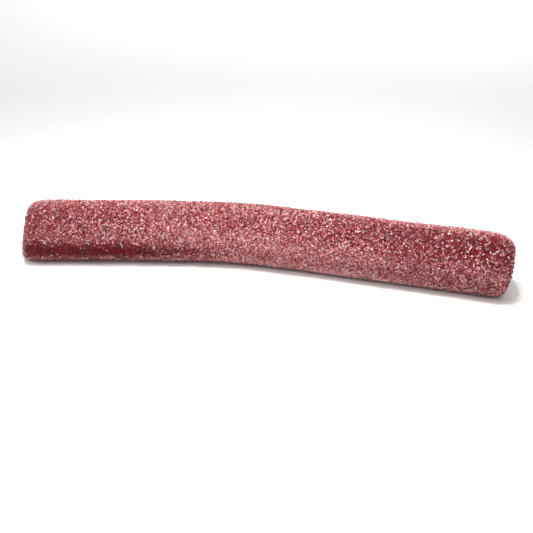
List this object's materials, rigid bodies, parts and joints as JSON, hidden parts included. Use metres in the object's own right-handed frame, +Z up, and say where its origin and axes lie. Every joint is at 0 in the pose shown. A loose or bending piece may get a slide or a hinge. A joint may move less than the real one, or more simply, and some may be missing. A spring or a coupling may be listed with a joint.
{
  "type": "sour strawberry pencil",
  "caption": "Hand-long sour candy pencil: a gently bent strawberry jelly tube round a white filling, rolled in sugar, knife-cut ends.",
  "frame": {"origin": "centre of the box's underside, on the surface the pencil lies on", "axes": "+X along the pencil towards the end whose top is rounded over most, +Y to the outside of the bend, +Z up"},
  "size_m": [0.1324, 0.0266, 0.0163],
  "materials": {
    "strawberry_jelly": "satin",
    "sour_sugar": "satin",
    "cream_filling": "matte"
  },
  "bodies": {
    "root": {"jelly_tube": "strawberry_jelly", "cream_filling": "cream_filling"}
  },
  "joints": []
}
